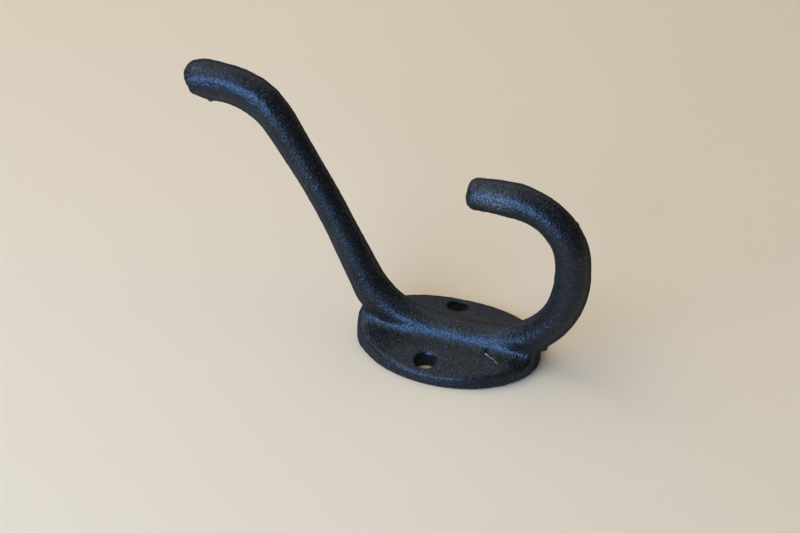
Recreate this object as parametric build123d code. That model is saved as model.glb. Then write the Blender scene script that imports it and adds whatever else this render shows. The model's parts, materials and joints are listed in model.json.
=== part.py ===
from build123d import *
import os
from math import radians, tan

# Cast hat-and-coat hook: one iron casting with an oval back plate, a rib across it,
# a long hat arm from the top of the rib and a curled coat hook from the bottom.
# Frame: X across the wall, Y up the wall, Z out of the wall. The origin is the middle
# of the plate's back face, and X = 0 is the mirror plane, where the mould parts.
# Lengths are millimetres and angles are degrees.

# Back plate: an oval slab whose front is a low barrel, thickest along the rib
plate_height = 45.6
plate_width = 34.0
plate_side_thickness = 2.8
plate_middle_thickness = 4.8
plate_side_draft = 9.0
plate_end_draft = 0.5
plate_rim_radius = 0.8
plate_back_edge = 0.3

# Screw holes, one on each side of the rib, set in from the plate's sides
hole_side_distance = 4.95
hole_lift = 2.0
hole_diameter = 5.0
hole_mouth_bevel = 0.4

# Rib, and the saddle that spreads its foot on the plate
rib_axis_height = 3.95
rib_diameter = 8.3
saddle_waist = 6.8
saddle_fillet = 2.2

# Hat arm: rib, root, lower run, bow, upper run, bend and tip run, in that order
hat_rib_reach = 2.3
hat_root_radius = 22.7
hat_root_turn = 62.6
hat_lower_run = 13.9
hat_bow_radius = 160.0
hat_bow_turn = 5.4
hat_upper_run = 14.2
hat_bend_radius = 17.2
hat_bend_turn = 56.4
hat_tip_run = 9.2
hat_waist_diameter = 7.4
hat_bend_diameter = 8.2
hat_tip_diameter = 9.0
hat_tip_rounding = 2.2

# Coat hook: rib, root, sweep, rise, bend and tip run, in that order
coat_rib_reach = 6.4
coat_root_radius = 23.3
coat_root_turn = 41.0
coat_sweep_radius = 23.3
coat_sweep_turn = 50.0
coat_rise = 2.2
coat_bend_radius = 15.5
coat_bend_turn = 89.0
coat_tip_run = 10.5
coat_bend_diameter = 8.1
coat_tip_diameter = 7.5
coat_tip_rounding = 1.85

node_name = "hook_casting"


def oval_block(height):
    """Drafted oval block that stands on the wall, with the plate's outline at its foot."""
    across = plate_width / 2 - height * tan(radians(plate_side_draft))
    upright = plate_height / 2 - height * tan(radians(plate_end_draft))
    foot = Ellipse(plate_width / 2, plate_height / 2)
    head = Pos(0, 0, height) * Ellipse(across, upright)
    return loft([foot, head])


def back_plate():
    """Oval block under a barrel-shaped front, with a rounded rim."""
    half = plate_width / 2
    left = (-half, plate_side_thickness)
    right = (half, plate_side_thickness)
    with BuildSketch(Plane.XZ) as barrel:
        with BuildLine():
            ThreePointArc(left, (0, plate_middle_thickness), right)
            Polyline(right, (half, 0), (-half, 0), left)
        make_face()
    plate = oval_block(plate_middle_thickness) & extrude(barrel.sketch, plate_height, both=True)
    front = plate.faces().sort_by(Axis.Z)[-1]
    plate = fillet(front.edges(), plate_rim_radius)
    back = plate.faces().sort_by(Axis.Z)[0]
    return chamfer(back.edges(), plate_back_edge)


def drill_screw_holes(plate):
    """Plain round holes through the plate, with slightly bevelled mouths."""
    offset = plate_width / 2 - hole_side_distance
    for side in (-1, 1):
        centre = Pos(side * offset, hole_lift, 0)
        plate = plate - centre * Cylinder(hole_diameter / 2, 4 * plate_middle_thickness)
    bores = plate.faces().filter_by(GeomType.CYLINDER)
    mouths = [bore.edges().sort_by(Axis.Z)[-1] for bore in bores]
    return chamfer(mouths, hole_mouth_bevel)


def saddle():
    """Straight foot along the rib: two concave flanks that run out on the plate."""
    half_waist = saddle_waist / 2
    half_foot = half_waist + saddle_fillet
    bow = plate_middle_thickness - plate_side_thickness
    foot_height = plate_middle_thickness - bow * (2 * half_foot / plate_width) ** 2
    buried = foot_height / 2
    top = foot_height + saddle_fillet
    with BuildSketch(Plane.XZ) as profile:
        with BuildLine():
            right = CenterArc((half_foot, top), saddle_fillet, 180, 90)
            left = CenterArc((-half_foot, top), saddle_fillet, 270, 90)
            Line(left @ 1, right @ 0)
            Polyline(right @ 1, (half_foot, buried), (-half_foot, buried), left @ 0)
        make_face()
    return extrude(profile.sketch, plate_height, both=True) & oval_block(top)


def round_run(line, start_diameter, end_diameter):
    """Straight round bar along a line, tapered from one diameter to the other."""
    place = Plane(origin=line @ 0.5, x_dir=(1, 0, 0), z_dir=line % 0)
    if start_diameter == end_diameter:
        return place * Cylinder(start_diameter / 2, line.length)
    return place * Cone(start_diameter / 2, end_diameter / 2, line.length)


def round_bend(arc, diameter):
    """Round bar of one diameter swept along an arc."""
    place = Plane(origin=arc @ 0, x_dir=(1, 0, 0), z_dir=arc % 0)
    return sweep(place * Circle(diameter / 2), path=arc)


def round_tip(line, start_diameter, end_diameter, rounding):
    """Tapered bar along a line that ends in a rounded nose, turned about the line."""
    foot = start_diameter / 2
    head = end_diameter / 2
    with BuildSketch(Plane.XZ) as profile:
        with BuildLine():
            side = Line((foot, 0), (head, line.length - rounding))
            nose = CenterArc((head - rounding, line.length - rounding), rounding, 0, 90)
            Polyline(nose @ 1, (0, line.length), (0, 0), side @ 0)
        make_face()
    bar = revolve(profile.sketch, Axis.Z)
    return Plane(origin=line @ 0, x_dir=(1, 0, 0), z_dir=line % 0) * bar


def hat_arm():
    with BuildLine(Plane.YZ):
        rib = Line((0, rib_axis_height), (hat_rib_reach, rib_axis_height))
        root = JernArc(rib @ 1, rib % 1, hat_root_radius, hat_root_turn)
        lower = Line(root @ 1, root @ 1 + (root % 1) * hat_lower_run)
        bow = JernArc(lower @ 1, lower % 1, hat_bow_radius, -hat_bow_turn)
        upper = Line(bow @ 1, bow @ 1 + (bow % 1) * hat_upper_run)
        bend = JernArc(upper @ 1, upper % 1, hat_bend_radius, -hat_bend_turn)
        tip = Line(bend @ 1, bend @ 1 + (bend % 1) * hat_tip_run)
    bars = [
        round_run(rib, rib_diameter, rib_diameter),
        round_bend(root, rib_diameter),
        round_run(lower, rib_diameter, hat_waist_diameter),
        round_bend(bow, hat_waist_diameter),
        round_run(upper, hat_waist_diameter, hat_bend_diameter),
        round_bend(bend, hat_bend_diameter),
        round_tip(tip, hat_bend_diameter, hat_tip_diameter, hat_tip_rounding),
    ]
    return bars


def coat_hook():
    with BuildLine(Plane.YZ):
        rib = Line((0, rib_axis_height), (-coat_rib_reach, rib_axis_height))
        root = JernArc(rib @ 1, rib % 1, coat_root_radius, -coat_root_turn)
        sweep_up = JernArc(root @ 1, root % 1, coat_sweep_radius, -coat_sweep_turn)
        rise = Line(sweep_up @ 1, sweep_up @ 1 + (sweep_up % 1) * coat_rise)
        bend = JernArc(rise @ 1, rise % 1, coat_bend_radius, -coat_bend_turn)
        tip = Line(bend @ 1, bend @ 1 + (bend % 1) * coat_tip_run)
    bars = [
        round_run(rib, rib_diameter, rib_diameter),
        round_bend(root, rib_diameter),
        round_bend(sweep_up, rib_diameter),
        round_run(rise, rib_diameter, coat_bend_diameter),
        round_bend(bend, coat_bend_diameter),
        round_tip(tip, coat_bend_diameter, coat_tip_diameter, coat_tip_rounding),
    ]
    return bars


def hook():
    """The whole casting, with its back cut flat on the wall."""
    casting = drill_screw_holes(back_plate()) + saddle()
    for bar in hat_arm() + coat_hook():
        casting = casting + bar
    reach = plate_height + plate_width
    wall = Pos(0, 0, -reach / 2) * Box(reach * 2, reach * 2, reach)
    return casting - wall


casting = hook()
casting.label = node_name
os.makedirs("parts", exist_ok=True)
export_step(casting, "parts/" + node_name + ".step")
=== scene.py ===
import bpy
import json
import math
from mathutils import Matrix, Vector

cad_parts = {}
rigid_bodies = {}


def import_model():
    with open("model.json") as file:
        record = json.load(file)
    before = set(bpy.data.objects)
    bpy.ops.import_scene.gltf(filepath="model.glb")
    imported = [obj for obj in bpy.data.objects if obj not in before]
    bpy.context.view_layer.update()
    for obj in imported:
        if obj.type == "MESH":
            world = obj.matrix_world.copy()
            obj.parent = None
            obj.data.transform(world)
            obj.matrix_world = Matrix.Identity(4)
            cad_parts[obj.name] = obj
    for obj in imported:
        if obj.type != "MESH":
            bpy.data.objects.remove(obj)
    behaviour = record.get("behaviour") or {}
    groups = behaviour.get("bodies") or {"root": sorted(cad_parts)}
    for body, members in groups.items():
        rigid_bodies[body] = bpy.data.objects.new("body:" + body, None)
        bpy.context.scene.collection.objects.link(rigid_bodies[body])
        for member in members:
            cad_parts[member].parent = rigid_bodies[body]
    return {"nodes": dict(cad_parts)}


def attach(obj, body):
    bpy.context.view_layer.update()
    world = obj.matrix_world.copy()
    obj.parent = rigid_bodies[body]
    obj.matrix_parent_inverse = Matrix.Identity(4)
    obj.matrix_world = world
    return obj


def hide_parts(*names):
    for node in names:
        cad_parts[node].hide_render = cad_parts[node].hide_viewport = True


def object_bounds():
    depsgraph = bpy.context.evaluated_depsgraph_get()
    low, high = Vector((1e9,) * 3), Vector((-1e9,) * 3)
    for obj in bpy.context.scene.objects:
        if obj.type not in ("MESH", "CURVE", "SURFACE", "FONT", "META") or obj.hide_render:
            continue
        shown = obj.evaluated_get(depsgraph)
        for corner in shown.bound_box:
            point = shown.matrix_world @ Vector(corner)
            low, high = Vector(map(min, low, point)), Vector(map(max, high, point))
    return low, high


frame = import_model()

cadBox = [list(corner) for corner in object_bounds()]
mm = 0.001

# Camera and framing
cameraSetup = {
    "place": (-0.413904, -0.131708, 0.315882),
    "turn": (55.9921, -1.1606, -69.917),
    "lens": 99.0,
    "sensor": 36.0,
    "reach": 20.0,
}


def addCamera(setup):
    bpy.ops.object.camera_add(location=setup["place"],
                              rotation=[math.radians(a) for a in setup["turn"]])
    camera = bpy.context.object
    camera.name = "benchCamera"
    camera.data.lens = setup["lens"]
    camera.data.sensor_width = setup["sensor"]
    camera.data.clip_end = setup["reach"]
    bpy.context.scene.camera = camera


def deselectAll():
    if bpy.context.object and bpy.context.object.mode != "OBJECT":
        bpy.ops.object.mode_set(mode="OBJECT")
    bpy.ops.object.select_all(action="DESELECT")


addCamera(cameraSetup)
print("camera placed")


# Small helpers for building node trees
def freshMaterial(name):
    material = bpy.data.materials.new(name)
    material.use_nodes = True
    return material, material.node_tree, material.node_tree.nodes["Principled BSDF"]


def addNode(tree, kind, **settings):
    node = tree.nodes.new(kind)
    for key, value in settings.items():
        setattr(node, key, value)
    return node


def noiseAt(tree, place, grainSize, detail):
    noise = addNode(tree, "ShaderNodeTexNoise")
    noise.inputs["Scale"].default_value = 1.0 / grainSize
    noise.inputs["Detail"].default_value = detail
    tree.links.new(place, noise.inputs["Vector"])
    return noise.outputs["Fac"]


def remap(tree, value, span, out=(0.0, 1.0)):
    # carries value from span onto out, both given as two ends
    node = addNode(tree, "ShaderNodeMapRange")
    for socket, number in zip(("From Min", "From Max", "To Min", "To Max"), (*span, *out)):
        node.inputs[socket].default_value = number
    tree.links.new(value, node.inputs["Value"])
    return node.outputs["Result"]


def mathNode(tree, operation, first, second):
    node = addNode(tree, "ShaderNodeMath", operation=operation)
    for socket, value in zip(node.inputs, (first, second)):
        if isinstance(value, (int, float)):
            socket.default_value = value
        else:
            tree.links.new(value, socket)
    return node.outputs[0]


def mixColour(tree, mask, first, second):
    node = addNode(tree, "ShaderNodeMix", data_type="RGBA")
    firstIn, secondIn, result = 6, 7, 2  # the node's colour sockets
    tree.links.new(mask, node.inputs["Factor"])
    for socket, value in zip((node.inputs[firstIn], node.inputs[secondIn]), (first, second)):
        if isinstance(value, tuple):
            socket.default_value = (*value, 1.0)
        else:
            tree.links.new(value, socket)
    return node.outputs[result]


# Floor
floorSetup = {
    "size": 6.0,
    "colour": (0.76, 0.605, 0.41),
    "dullness": 0.85,
    "gloss": 0.2,
}

deselectAll()
bpy.ops.mesh.primitive_plane_add(size=floorSetup["size"], location=(0, 0, 0))
floor = bpy.context.object
floor.name = "floor"
floorMaterial, tree, shader = freshMaterial("paleFloor")
shader.inputs["Base Color"].default_value = (*floorSetup["colour"], 1.0)
shader.inputs["Roughness"].default_value = floorSetup["dullness"]
shader.inputs["Specular IOR Level"].default_value = floorSetup["gloss"]
floor.data.materials.append(floorMaterial)
print("floor laid")

# The casting: a merged copy of the solid, given the soft, sandy skin of cast iron
castingSetup = {
    "mergeDistance": 0.002 * mm,
    "voxel": 0.305 * mm,
    "softFactor": 0.5,
    "softRounds": 4,
    "faintest": 0.01,
    "lumpSize": 1.3 * mm,
    "lumpHeight": 0.11 * mm,
    "sandSize": 0.7 * mm,
    "sandHeight": 0.07 * mm,
    "chipSize": 1.1 * mm,
    "chipHeight": 0.32 * mm,
}

# Bits of flash and stray iron left by the mould, in millimetres: shape, middle, size and turn about X
flashBits = {
    "lowerTab": ("block", (0.0, -22.95, 6.3), (1.1, 3.6, 3.2), 0.0),
    "hatNib": ("ball", (-2.2, 60.9, 58.25), (1.9, 1.8, 1.5), 20.0),
    "bowNib": ("ball", (1.3, -29.2, 41.7), (1.1, 1.3, 0.7), 40.0),
    "rimNib": ("ball", (15.1, 6.6, 2.3), (1.2, 1.3, 1.2), 0.0),
    "rimNibLow": ("ball", (-11.0, -17.2, 1.0), (1.3, 1.3, 1.0), 0.0),
    "rimNibHigh": ("ball", (-14.9, 10.3, 1.1), (1.1, 1.2, 1.0), 0.0),
}

# A pit beside the scratch and two chips at the coat hook's end, in millimetres: middle and reach
castingPits = {
    "besideScratch": ((-4.7, -10.9, 4.8), 0.8),
    "coatTipChip": ((-2.8, -6.6, 42.5), 1.0),
    "coatUnderChip": ((-3.3, -14.0, 42.6), 0.8),
}
pitCore = 0.15  # the share of a pit's reach that is full depth


def workingCopy(node, name):
    deselectAll()
    source = frame["nodes"][node]
    source.select_set(True)
    bpy.context.view_layer.objects.active = source
    bpy.ops.object.duplicate()
    copy = bpy.context.object
    copy.name = name
    copy.data.name = name
    copy.data.materials.clear()
    bpy.ops.object.mode_set(mode="EDIT")
    bpy.ops.mesh.select_all(action="SELECT")
    bpy.ops.mesh.remove_doubles(threshold=castingSetup["mergeDistance"])
    bpy.ops.object.mode_set(mode="OBJECT")
    return copy


def joinFlash(piece, bits):
    made = []
    for name, (shape, middle, size, turn) in bits.items():
        deselectAll()
        place = [m * mm for m in middle]
        if shape == "block":
            bpy.ops.mesh.primitive_cube_add(size=1.0, location=place)
        else:
            bpy.ops.mesh.primitive_ico_sphere_add(subdivisions=2, radius=0.5, location=place)
        bit = bpy.context.object
        bit.name = name
        bit.scale = [s * mm for s in size]
        bit.rotation_euler = (math.radians(turn), 0, 0)
        made.append(bit)
    deselectAll()
    for bit in made:
        bit.select_set(True)
    piece.select_set(True)
    bpy.context.view_layer.objects.active = piece
    bpy.ops.object.join()


def applyModifier(piece, kind, name, **settings):
    modifier = piece.modifiers.new(name, kind)
    for key, value in settings.items():
        setattr(modifier, key, value)
    bpy.context.view_layer.objects.active = piece
    bpy.ops.object.modifier_apply(modifier=name)


def keepMainShell(piece):
    # the remesh can leave crumbs inside, so only what hangs together with the highest point stays
    bpy.ops.object.mode_set(mode="EDIT")
    bpy.ops.mesh.select_all(action="DESELECT")
    bpy.ops.object.mode_set(mode="OBJECT")
    max(piece.data.vertices, key=lambda vertex: vertex.co.z).select = True
    bpy.ops.object.mode_set(mode="EDIT")
    bpy.ops.mesh.select_linked()
    bpy.ops.mesh.select_all(action="INVERT")
    bpy.ops.mesh.delete(type="VERT")
    bpy.ops.object.mode_set(mode="OBJECT")


def cloudTexture(name, size):
    texture = bpy.data.textures.new(name, "CLOUDS")
    texture.noise_scale = size
    texture.noise_depth = 1
    return texture


def ramp(value, start, full):
    # 0 before start, 1 past full, with soft ends; full may lie on either side of start
    share = min(max((value - start) / (full - start), 0.0), 1.0)
    return share * share * (3.0 - 2.0 * share)


def hatUnderside(p, n):
    if p.z < 44.0:
        return 0.0
    return ramp(p.y, 43.0, 52.0) * ramp(p.y, 66.0, 61.0) * max(-n.z, 0.0)


def plateRim(p, n):
    edge = math.hypot(p.x / 17.0, p.y / 22.8)
    more = 0.15 + 0.85 * ramp(abs(p.y), 12.0, 19.0)
    return ramp(p.z, 5.6, 4.9) * ramp(edge, 0.88, 0.95) * more


def pits(p, n):
    return max(ramp((p - Vector(middle)).length, reach, pitCore * reach)
               for middle, reach in castingPits.values())


# What a zone can be measured by: millimetres, or which way the surface faces
measures = {
    "y": lambda p, n: p.y,
    "z": lambda p, n: p.z,
    "aside": lambda p, n: abs(p.x),
    "along": lambda p, n: abs(p.y),
    "facingUp": lambda p, n: n.y,
    "facingOut": lambda p, n: n.z,
    "fromRibFoot": lambda p, n: math.hypot(abs(p.x) - 4.6, p.z - 5.0),
    "fromRibShoulder": lambda p, n: math.hypot(abs(p.x) - 3.0, p.z - 6.9),
    "fromHole": lambda p, n: math.hypot(abs(p.x) - 12.0, p.y - 2.0),
}

# Zones of the casting. A patch lies past "over" and short of "under", and its strength is the product
# of its ramps, each a measure, where it starts and where it is full. The strongest patch counts.
zones = {
    "hatTop": [{"over": {"z": 50.0},
                "ramps": (("y", 47.0, 53.0), ("y", 64.5, 61.0), ("facingOut", 0.1, 0.6))}],
    "hatKnuckle": [{"over": {"z": 55.0},
                    "ramps": (("y", 43.5, 46.0), ("y", 52.0, 48.5), ("facingOut", 0.2, 0.6))}],
    "hatUnderside": hatUnderside,
    "hatBrow": [{"ramps": (("y", 63.3, 66.5), ("z", 62.0, 65.0))}],
    "hatChin": [{"over": {"z": 50.0}, "ramps": (("y", 65.0, 67.0), ("z", 63.5, 59.0))}],
    "hatCorner": [{"ramps": (("y", 63.5, 66.5), ("z", 62.0, 64.0))}],
    "hatHeel": [{"ramps": (("y", 17.5, 20.5), ("z", 5.2, 7.2), ("z", 14.0, 9.5),
                           ("facingOut", 0.5, -0.1))}],
    "coatBack": [{"over": {"z": 36.0},
                  "ramps": (("y", -20.0, -15.0), ("y", -6.0, -10.0), ("facingOut", 0.2, 0.8))}],
    "coatBelly": [{"over": {"z": 30.0},
                   "ramps": (("y", -25.0, -20.0), ("y", -6.0, -9.0), ("facingOut", -0.1, -0.7))}],
    "coatInside": [{"over": {"z": 12.0}, "under": {"y": -15.0},
                    "ramps": (("y", -22.0, -26.0), ("z", 15.0, 23.0), ("z", 37.0, 31.0),
                              ("facingUp", 0.1, 0.6))}],
    "coatOutside": [{"under": {"y": 0.0, "z": 55.0},
                     "ramps": (("z", 30.0, 40.0), ("facingUp", 0.5, -0.1))}],
    "coatChin": [{"over": {"z": 34.0}, "under": {"y": 5.0},
                  "ramps": (("y", -9.5, -6.0), ("z", 41.0, 38.8))}],
    "coatNose": [{"over": {"z": 36.0}, "under": {"y": 5.0}, "ramps": (("y", -11.0, -5.0),)}],
    "plateTop": [{"ramps": (("y", 14.0, 21.0), ("z", 6.5, 5.5), ("aside", 14.0, 8.0))}],
    "lowerShoulder": [{"ramps": (("y", -18.3, -21.8), ("aside", 11.0, 7.5), ("z", 6.2, 5.0),
                                 ("facingOut", 0.1, 0.5))}],
    "ribShoulder": [{"ramps": (("along", 14.0, 9.0), ("fromRibShoulder", 2.2, 0.6))}],
    "ribFoot": [{"ramps": (("z", 8.4, 6.8), ("y", 25.0, 20.0), ("fromRibFoot", 5.0, 2.8))}],
    "heelBlend": [{"ramps": (("y", 17.5, 20.0), ("y", 27.0, 24.0), ("z", 4.0, 6.0),
                             ("z", 14.0, 10.0))}],
    "plateRim": plateRim,
    "holeMouths": [{"ramps": (("z", 2.0, 3.0), ("fromHole", 5.0, 3.6))}],
    "noses": [{"ramps": (("y", 63.5, 66.0),)},
              {"over": {"z": 38.0}, "under": {"z": 52.0}, "ramps": (("y", -7.0, -5.0),)}],
    "pits": pits,
    "chippedEnds": [{"ramps": (("y", 62.0, 66.0),)},
                    {"over": {"z": 36.0}, "under": {"z": 52.0, "y": 5.0},
                     "ramps": (("y", -11.0, -6.0), ("facingOut", 0.7, 0.1))},
                    {"over": {"z": 32.0}, "share": 0.7,
                     "ramps": (("y", -22.0, -17.0), ("y", -6.0, -9.0), ("facingOut", -0.3, -0.8))}],
}

# Where the casting is fuller or slacker than the plain solid: how far in millimetres, and which way
swells = {
    "hatTop": (0.2, "NORMAL"),
    "hatKnuckle": (0.25, "NORMAL"),
    "coatBack": (0.25, "NORMAL"),
    "coatBelly": (-0.2, "NORMAL"),
    "coatInside": (0.35, "NORMAL"),
    "coatOutside": (0.12, "NORMAL"),
    "ribShoulder": (0.4, "NORMAL"),
    "hatHeel": (0.8, "NORMAL"),
    "hatUnderside": (-1.05, "Z"),
    "hatBrow": (-1.0, "Z"),
    "hatChin": (-1.0, "Y"),
    "hatCorner": (0.6, "Y"),
    "coatChin": (0.95, "Z"),
    "plateTop": (0.5, "Y"),
    "coatNose": (0.5, "Y"),
    "lowerShoulder": (-1.3, "Z"),
}
pitSwell = (-0.6, "NORMAL")

# Where edges and hollows run softly into each other: rounds of smoothing
softSpots = {
    "ribFoot": 120,
    "heelBlend": 80,
    "plateRim": 40,
    "holeMouths": 26,
    "noses": 10,
}


def patchStrength(patch, p, n):
    for measure, limit in patch.get("over", {}).items():
        if measures[measure](p, n) <= limit:
            return 0.0
    for measure, limit in patch.get("under", {}).items():
        if measures[measure](p, n) >= limit:
            return 0.0
    strength = patch.get("share", 1.0)
    for measure, start, full in patch["ramps"]:
        strength *= ramp(measures[measure](p, n), start, full)
        if strength == 0.0:
            break
    return strength


def zoneStrength(zone, p, n):
    if callable(zone):
        return zone(p, n)
    return max(patchStrength(patch, p, n) for patch in zone)


def markZone(piece, name):
    group = piece.vertex_groups.new(name=name)
    for vertex in piece.data.vertices:
        amount = zoneStrength(zones[name], vertex.co / mm, vertex.normal)
        if amount > castingSetup["faintest"]:
            group.add([vertex.index], amount, "REPLACE")


def swellZone(piece, name, height, direction):
    markZone(piece, name)
    applyModifier(piece, "DISPLACE", name, strength=height * mm, mid_level=0.0,
                  direction=direction, vertex_group=name)
    piece.vertex_groups.clear()


def smoothZone(piece, name, rounds):
    markZone(piece, name)
    applyModifier(piece, "SMOOTH", name, factor=castingSetup["softFactor"], iterations=rounds,
                  vertex_group=name)
    piece.vertex_groups.clear()


def roughen(piece, name, size, height, zone=""):
    applyModifier(piece, "DISPLACE", name, texture=cloudTexture(name, size), texture_coords="LOCAL",
                  mid_level=0.5, strength=height, vertex_group=zone)


casting = workingCopy("hook_casting", "castHook")
joinFlash(casting, flashBits)
applyModifier(casting, "REMESH", "evenSkin", mode="VOXEL", voxel_size=castingSetup["voxel"])
keepMainShell(casting)
for name, (height, direction) in swells.items():
    swellZone(casting, name, height, direction)
applyModifier(casting, "SMOOTH", "softCorners", factor=castingSetup["softFactor"],
              iterations=castingSetup["softRounds"])
for name, rounds in softSpots.items():
    smoothZone(casting, name, rounds)
swellZone(casting, "pits", *pitSwell)
print("casting shaped:", len(casting.data.polygons), "faces")

roughen(casting, "lumps", castingSetup["lumpSize"], castingSetup["lumpHeight"])
roughen(casting, "sand", castingSetup["sandSize"], castingSetup["sandHeight"])
markZone(casting, "chippedEnds")
roughen(casting, "chips", castingSetup["chipSize"], castingSetup["chipHeight"], "chippedEnds")
casting.vertex_groups.clear()


def keepInside(piece, box):
    # no grain stands out past the solid's own reach
    lowest, highest = box
    for vertex in piece.data.vertices:
        for axis in range(3):
            vertex.co[axis] = min(max(vertex.co[axis], lowest[axis]), highest[axis])


keepInside(casting, cadBox)
deselectAll()
casting.select_set(True)
bpy.context.view_layer.objects.active = casting
bpy.ops.object.shade_smooth()
print("skin cast")

# Black paint over a sandy skin
paintSetup = {
    "coolBlack": (0.0030, 0.0034, 0.0040),
    "warmBlack": (0.0070, 0.0058, 0.0050),
    "wornGrey": (0.045, 0.043, 0.040),
    "dustAndTopLightGrey": (0.105, 0.102, 0.095),
    "rubbedGrey": (0.170, 0.164, 0.150),
    "scratchWhite": (0.42, 0.41, 0.39),
    "dustAndTopLightShare": (0.25, 0.70),       # on the sides, and on up-facing surfaces, where the extra grey is painted light from above
    "patchSize": 9.0 * mm,
    "patchDetail": 2.0,
    "grainSize": 0.45 * mm,
    "fineGrain": 0.26 * mm,
    "grainDetail": 1.0,
    "cellSize": 0.80 * mm,
    "sandGrain": 0.42 * mm,
    "grainHeight": 0.094 * mm,
    "fineShare": 0.4,                # shares of the relief, beside the grain's 1
    "cellShare": 0.75,
    "sandShare": (0.30, 0.65),
    "roughness": (0.14, 0.27),
    "edgeDulling": 0.60,
    "speckDulling": (0.09, 0.32),    # in plain paint, and in soot
    "gloss": 0.35,
    # reflections tinted sky blue: a painted sky reflection in the paint's gloss
    "skyBlueReflectionTint": (0.62, 0.80, 1.0),
}

# Where each mask starts and where it is full, on the pattern that it is cut from
paintSpans = {
    "patches": (0.35, 0.65),
    "scratchGrain": (0.35, 0.55),
    "edges": (0.54, 0.64),
    "edgeGrain": (0.45, 0.62),
    "paintedTopLight": (0.3, 0.95),
    "dust": (0.60, 0.68),
    "rubbed": (0.50, 0.62),
    "sand": (0.42, 0.05),
    "edgeOn": (0.38, 0.66),
    "sheen": (0.3, 0.7),
    "specks": (0.58, 0.42),
}

# Spots on the paint, in millimetres: middle, turn about Z and half sizes
scratches = {
    "short": ((-6.1, -11.4, 4.4), 58.0, (0.65, 0.30, 2.0)),
    "long": ((-6.9, -12.9, 4.4), 66.0, (1.10, 0.13, 2.0)),
    "tail": ((-7.9, -14.3, 4.4), 40.0, (0.70, 0.10, 2.0)),
}
# the pit beside the scratch is kept darker in colour (no dust grey there): painted shade in the pit
pitShade = ((-4.75, -10.75, 4.8), 58.0, (0.50, 0.62, 1.5))
sootyTop = ((-0.5, 57.0, 66.0), 0.0, (7.0, 12.0, 4.0))
rubbedTip = ((-1.5, -10.5, 46.0), 0.0, (4.5, 7.0, 2.8))
# How much of each spot is full strength
spotCores = {"scratch": 0.6, "pit": 0.3, "soot": 0.5, "rubbed": 0.35}


def cellsAt(tree, place, cellSize):
    cells = addNode(tree, "ShaderNodeTexVoronoi", feature="F1")
    cells.inputs["Scale"].default_value = 1.0 / cellSize
    tree.links.new(place, cells.inputs["Vector"])
    return cells.outputs["Distance"]


def spotAt(tree, place, spot, core):
    # 1 inside the spot, 0 outside it
    middle, turn, size = spot
    mapping = addNode(tree, "ShaderNodeMapping", vector_type="TEXTURE")
    mapping.inputs["Location"].default_value = [m * mm for m in middle]
    mapping.inputs["Rotation"].default_value = (0, 0, math.radians(turn))
    mapping.inputs["Scale"].default_value = [s * mm for s in size]
    tree.links.new(place, mapping.inputs["Vector"])
    length = addNode(tree, "ShaderNodeVectorMath", operation="LENGTH")
    tree.links.new(mapping.outputs["Vector"], length.inputs[0])
    return remap(tree, length.outputs["Value"], (1.0, core))


def product(tree, first, second):
    return mathNode(tree, "MULTIPLY", first, second)


paint, tree, shader = freshMaterial("blackPaint")
coordinates = addNode(tree, "ShaderNodeTexCoord")
place = coordinates.outputs["Object"]
patches = remap(tree, noiseAt(tree, place, paintSetup["patchSize"], paintSetup["patchDetail"]),
                paintSpans["patches"])
grain = noiseAt(tree, place, paintSetup["grainSize"], paintSetup["grainDetail"])
fine = noiseAt(tree, place, paintSetup["fineGrain"], paintSetup["grainDetail"])

# Masks: scratches, painted shade in the pit, rubbed edges, dust specks with painted light from above
# on up-facing surfaces, and the rubbed tip
scratched = 0.0
for scratch in scratches.values():
    streak = spotAt(tree, place, scratch, spotCores["scratch"])
    scratched = mathNode(tree, "MAXIMUM", scratched, streak)
scratched = product(tree, scratched, remap(tree, grain, paintSpans["scratchGrain"]))
pitPaintedShade = spotAt(tree, place, pitShade, spotCores["pit"])
pointed = addNode(tree, "ShaderNodeNewGeometry").outputs["Pointiness"]
worn = product(tree, remap(tree, pointed, paintSpans["edges"]),
               remap(tree, grain, paintSpans["edgeGrain"]))
facingWays = addNode(tree, "ShaderNodeSeparateXYZ")
tree.links.new(coordinates.outputs["Normal"], facingWays.inputs[0])
# up-facing surfaces get more grey: painted light from above, laid over the dust specks
paintedTopLight = remap(tree, facingWays.outputs["Z"], paintSpans["paintedTopLight"], paintSetup["dustAndTopLightShare"])
dustAndTopLight = product(tree, remap(tree, fine, paintSpans["dust"]), paintedTopLight)
# no dust grey in the pit, so it stays darker: painted shade
dustAndTopLight = product(tree, dustAndTopLight, mathNode(tree, "SUBTRACT", 1.0, pitPaintedShade))
rubbed = product(tree, spotAt(tree, place, rubbedTip, spotCores["rubbed"]),
                 remap(tree, fine, paintSpans["rubbed"]))

# Colour
black = mixColour(tree, patches, paintSetup["coolBlack"], paintSetup["warmBlack"])
# the dust grey is also painted light from above, lighter on up-facing surfaces
for mask, colour in ((worn, "wornGrey"), (dustAndTopLight, "dustAndTopLightGrey"), (rubbed, "rubbedGrey"),
                     (scratched, "scratchWhite")):
    black = mixColour(tree, mask, black, paintSetup[colour])
tree.links.new(black, shader.inputs["Base Color"])

# Relief: grain and fine grain, sunk between the cells, with sand stuck in the paint
cells = cellsAt(tree, place, paintSetup["cellSize"])
relief = mathNode(tree, "ADD", grain, product(tree, fine, paintSetup["fineShare"]))
relief = mathNode(tree, "SUBTRACT", relief, product(tree, cells, paintSetup["cellShare"]))
sand = remap(tree, cellsAt(tree, place, paintSetup["sandGrain"]), paintSpans["sand"])
sand = product(tree, sand, remap(tree, patches, (0.0, 1.0), paintSetup["sandShare"]))
relief = mathNode(tree, "ADD", relief, sand)
bump = addNode(tree, "ShaderNodeBump")
bump.inputs["Strength"].default_value = 1.0
bump.inputs["Distance"].default_value = paintSetup["grainHeight"]
tree.links.new(relief, bump.inputs["Height"])
tree.links.new(bump.outputs["Normal"], shader.inputs["Normal"])

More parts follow.
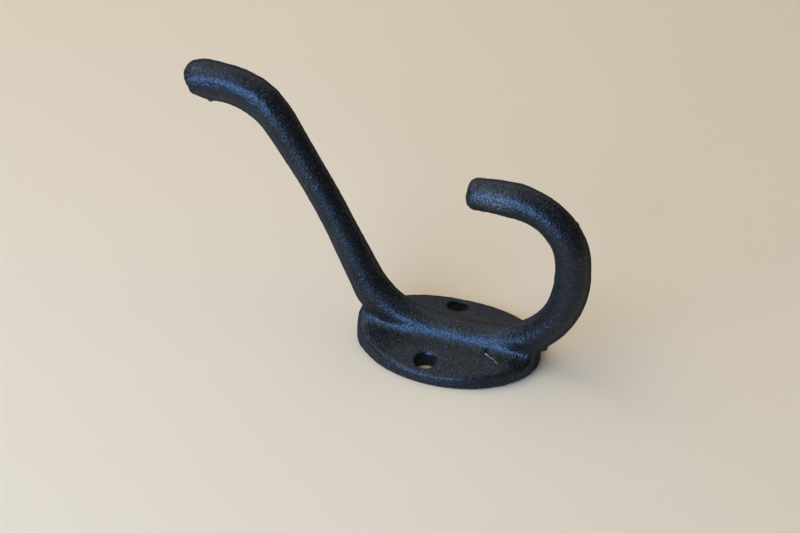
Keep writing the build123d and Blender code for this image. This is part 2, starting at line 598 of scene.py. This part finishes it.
# Gloss: duller edge on and in specks, dullest in the soot and the pit
facing = addNode(tree, "ShaderNodeLayerWeight").outputs["Facing"]
dulled = remap(tree, facing, paintSpans["edgeOn"], (0.0, paintSetup["edgeDulling"]))
dulled = mathNode(tree, "ADD", dulled,
                  remap(tree, grain, paintSpans["sheen"], paintSetup["roughness"]))
sooty = spotAt(tree, place, sootyTop, spotCores["soot"])
specks = product(tree, remap(tree, sooty, (0.0, 1.0), paintSetup["speckDulling"]),
                 remap(tree, fine, paintSpans["specks"]))
specks = mathNode(tree, "MAXIMUM", specks, pitPaintedShade)
tree.links.new(mathNode(tree, "ADD", dulled, specks), shader.inputs["Roughness"])
shader.inputs["Specular IOR Level"].default_value = paintSetup["gloss"]
# tints every reflection sky blue: painted sky reflection
shader.inputs["Specular Tint"].default_value = (*paintSetup["skyBlueReflectionTint"], 1.0)
shader.distribution = "GGX"
casting.data.materials.append(paint)
print("painted")

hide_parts("hook_casting")
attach(casting, "root")

# Light: a dim room, a cool low softbox on one side, a paler one above it, a big soft lamp overhead
# and a faint panel behind
roomColour = (0.05, 0.054, 0.07)
lampSetup = {
    "sideLamp": {
        "place": (-0.48, 0.150, 0.188),
        "aim": (0.0, 0.075, 0.178),
        "size": (0.47, 0.36),
        "brightness": 5.8,
        "spread": 120.0,
        "colour": (0.34, 0.56, 1.0),
    },
    "topLamp": {
        "place": (0.22, 0.22, 1.25),
        "aim": (0.0, 0.015, 0.03),
        "size": (2.3, 2.3),
        "brightness": 0.68,
        "spread": 180.0,
        "colour": (1.0, 0.94, 0.86),
    },
    "skyLamp": {
        "place": (-0.24, 0.70, 0.95),
        "aim": (0.0, 0.02, 0.03),
        "size": (1.4, 0.9),
        "brightness": 2.4,
        "spread": 180.0,
        "colour": (0.78, 0.87, 1.0),
    },
    "backPanel": {
        "place": (0.80, 0.26, 0.38),
        "aim": (0.0, 0.0, 0.03),
        "size": (1.1, 0.5),
        "brightness": 0.56,
        "spread": 180.0,
        "colour": (1.0, 0.97, 0.92),
    },
}

world = bpy.data.worlds.new("room")
bpy.context.scene.world = world
world.use_nodes = True
world.node_tree.nodes["Background"].inputs["Color"].default_value = (*roomColour, 1.0)
world.node_tree.nodes["Background"].inputs["Strength"].default_value = 1.0


def addSoftbox(name, setup):
    width, height = setup["size"]
    bpy.ops.object.light_add(type="AREA", location=setup["place"])
    lamp = bpy.context.object
    lamp.name = name
    lamp.data.shape = "RECTANGLE"
    lamp.data.size, lamp.data.size_y = width, height
    lamp.data.energy = setup["brightness"] * math.pi * width * height
    lamp.data.color = setup["colour"]
    lamp.data.spread = math.radians(setup["spread"])
    backward = Vector(setup["place"]) - Vector(setup["aim"])
    lamp.rotation_euler = backward.to_track_quat("Z", "Y").to_euler()
    lamp.visible_camera = False


for name, setup in lampSetup.items():
    addSoftbox(name, setup)
print("lit")

bpy.context.scene.view_settings.view_transform = "Standard"
